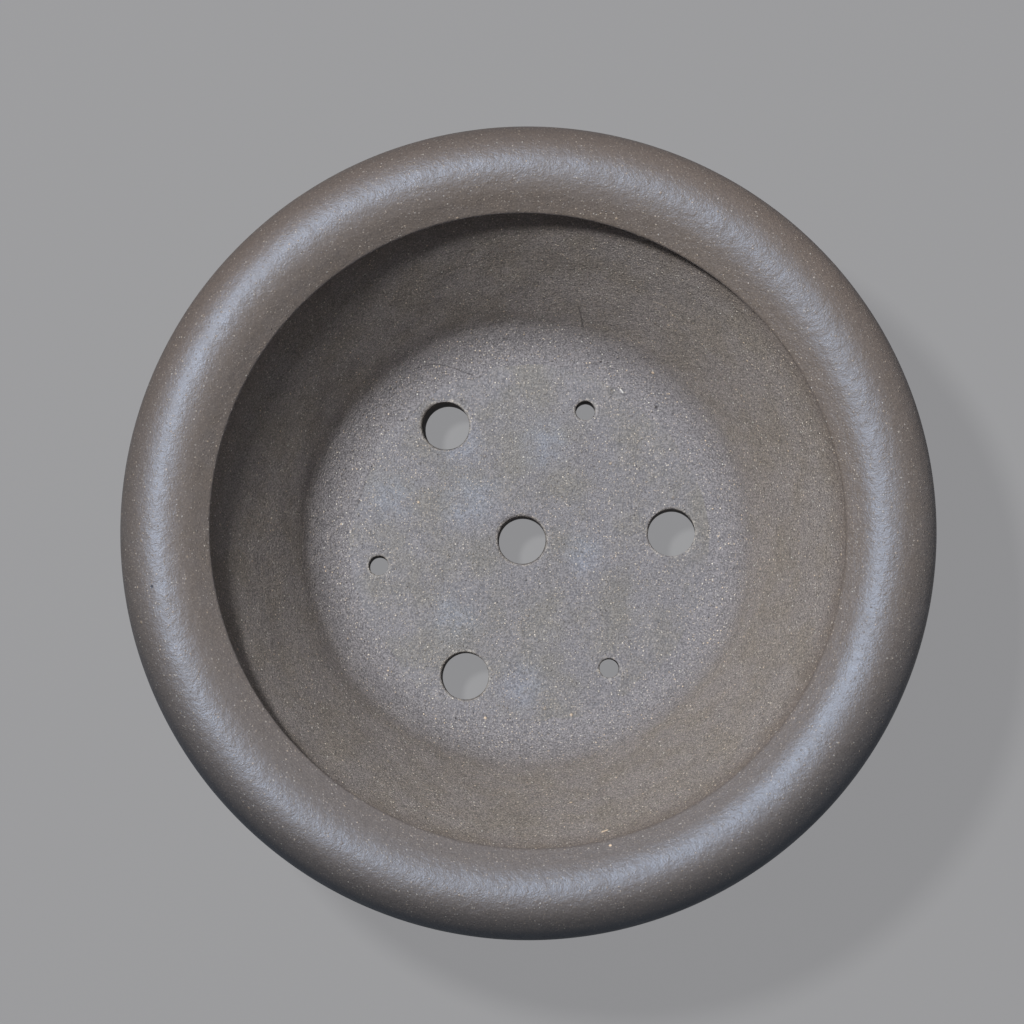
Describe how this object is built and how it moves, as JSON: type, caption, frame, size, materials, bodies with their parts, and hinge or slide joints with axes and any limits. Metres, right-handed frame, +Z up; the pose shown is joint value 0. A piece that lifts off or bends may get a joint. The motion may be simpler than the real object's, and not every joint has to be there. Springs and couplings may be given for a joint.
{
  "type": "round bonsai pot",
  "caption": "Round flared stoneware pot with a thick rolled lip, a pierced floor for drainage and tie wires, and small feet.",
  "frame": {"origin": "centre of the pot at the level that its feet stand on", "axes": "+Z up along the pot's axis, out of its mouth; +X and +Y to the right and to the top of the picture"},
  "size_m": [0.2, 0.2, 0.0787],
  "materials": {
    "lip_clay": "unglazed, burnished to a low satin, grey with a brown tint at its edges",
    "wall_clay": "unglazed, matt and sandy, grey-brown with pale grains",
    "floor_clay": "unglazed, matt and sandy, with a cool grey bloom",
    "foot_clay": "unglazed, matt, worn paler on the ground face"
  },
  "bodies": {
    "root": {"floor_slab": "floor_clay", "pot_wall": "wall_clay", "rolled_lip": "lip_clay", "foot_1": "foot_clay", "foot_2": "foot_clay", "foot_3": "foot_clay"}
  },
  "joints": []
}
